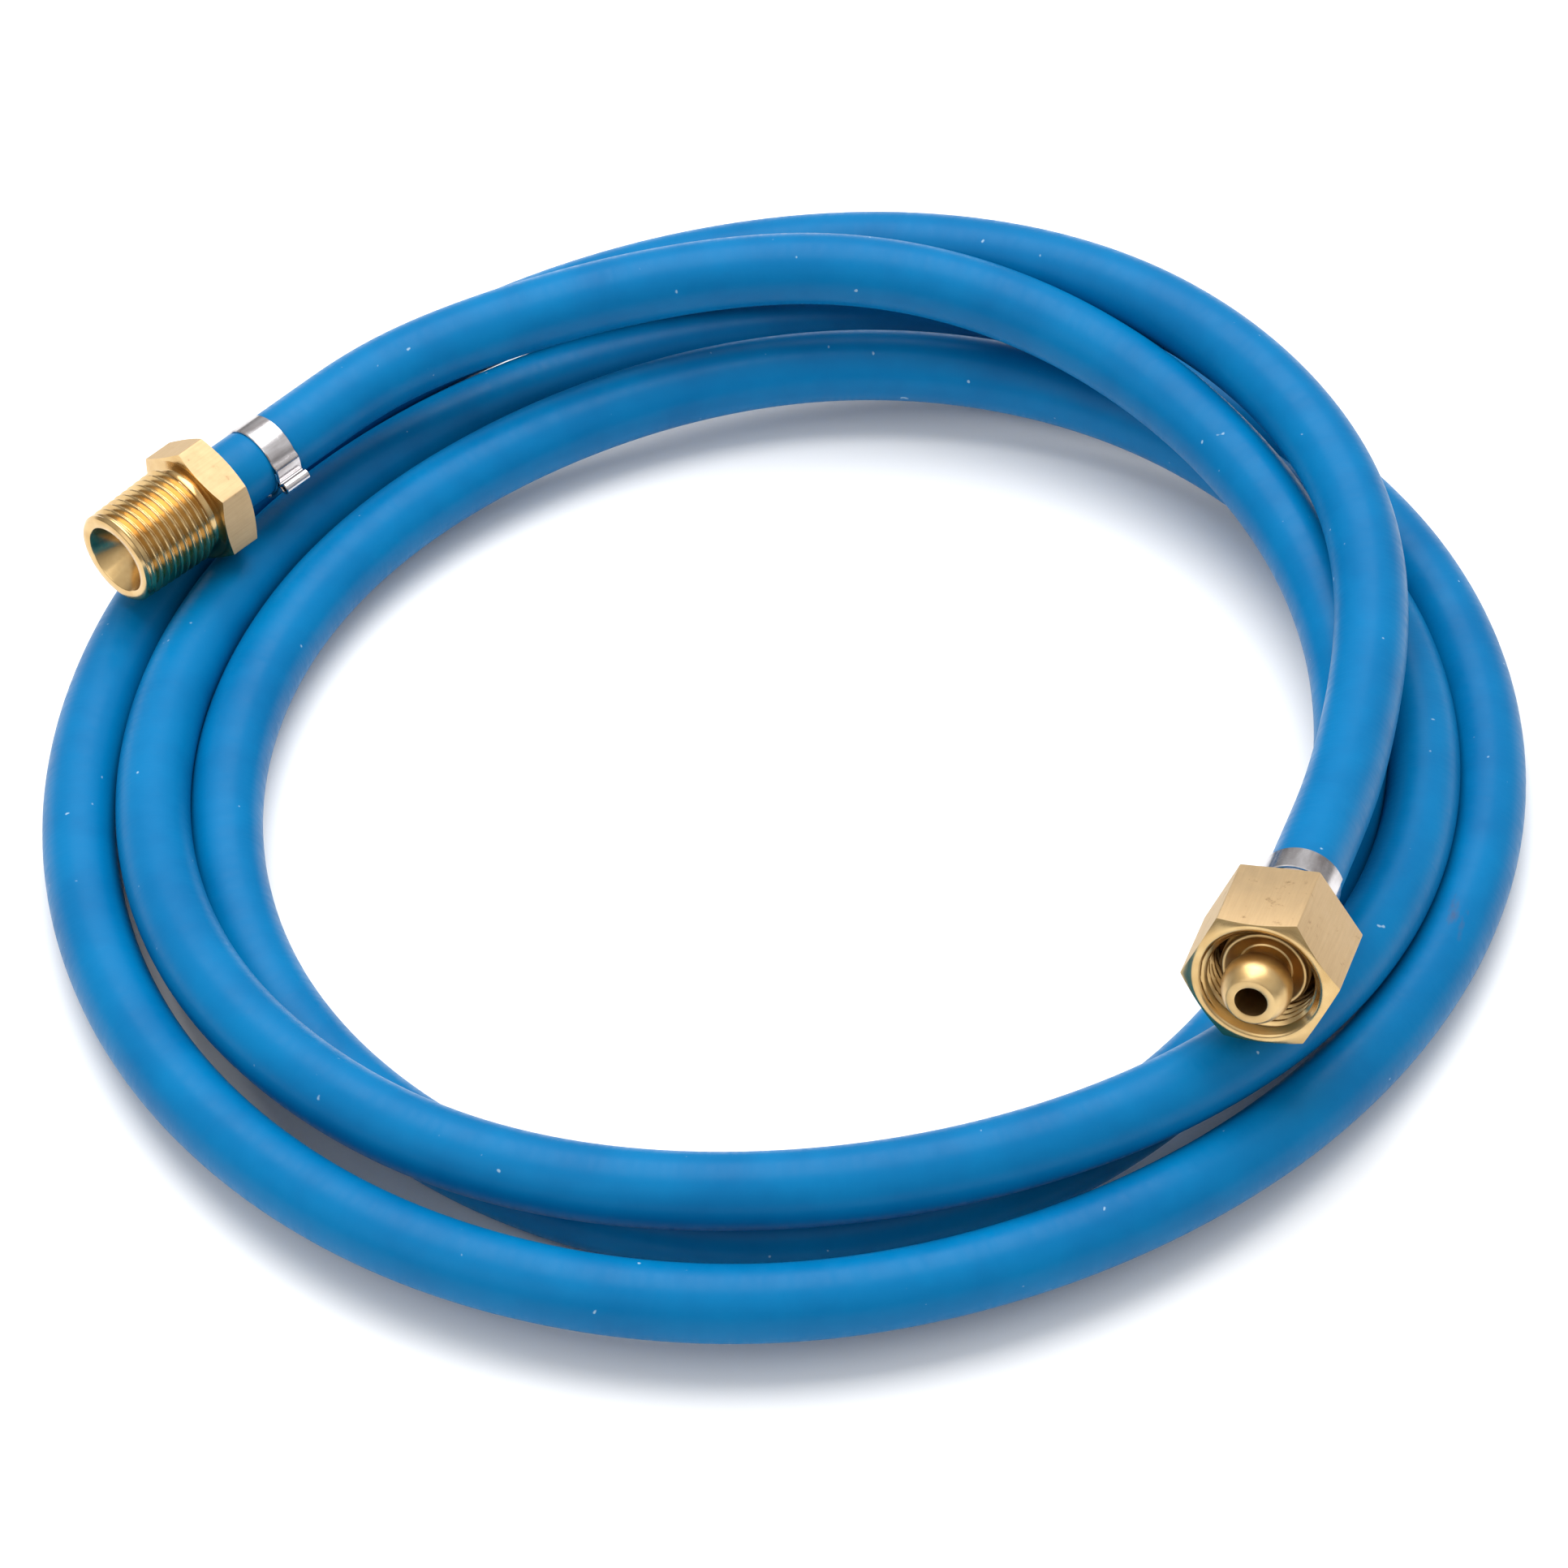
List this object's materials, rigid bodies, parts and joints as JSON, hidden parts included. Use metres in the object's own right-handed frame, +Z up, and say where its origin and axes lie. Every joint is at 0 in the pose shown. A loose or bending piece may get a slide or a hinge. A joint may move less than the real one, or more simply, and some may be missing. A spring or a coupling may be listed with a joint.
{
  "type": "coiled air hose",
  "caption": "Coiled blue rubber air hose with a brass male taper-thread tailpiece at one end and a brass swivel nut round a ball-nosed nipple at the other, each held by a steel ear clamp.",
  "frame": {"origin": "middle of the coil, on the surface that it lies on", "axes": "+Z up, out of the coil's plane; the coil runs clockwise, seen from above, from the male tailpiece to the swivel nut, which points along -Y and about about 11 degrees up"},
  "size_m": [0.312, 0.312, 0.0624],
  "materials": {
    "hose_rubber": "matt blue rubber with a faint wrapped-cloth texture",
    "fitting_brass": "machined brass, slightly stained",
    "clamp_steel": "zinc-bright strip steel"
  },
  "bodies": {
    "hose": {"hose_coil": "hose_rubber", "hose_male_lead": "hose_rubber", "hose_crossover": "hose_rubber", "hose_nut_lead": "hose_rubber", "male_tailpiece": "fitting_brass", "male_ear_clamp": "clamp_steel", "ball_nose_nipple": "fitting_brass", "nut_ear_clamp": "clamp_steel"},
    "nut": {"swivel_nut": "fitting_brass"}
  },
  "joints": [
    {"name": "nut_spin", "type": "hinge", "parent": "hose", "child": "nut", "pos_m": [0.1091, -0.0347, 0.0444], "axis": [0, -0.9829, 0.184], "continuous": true}
  ]
}
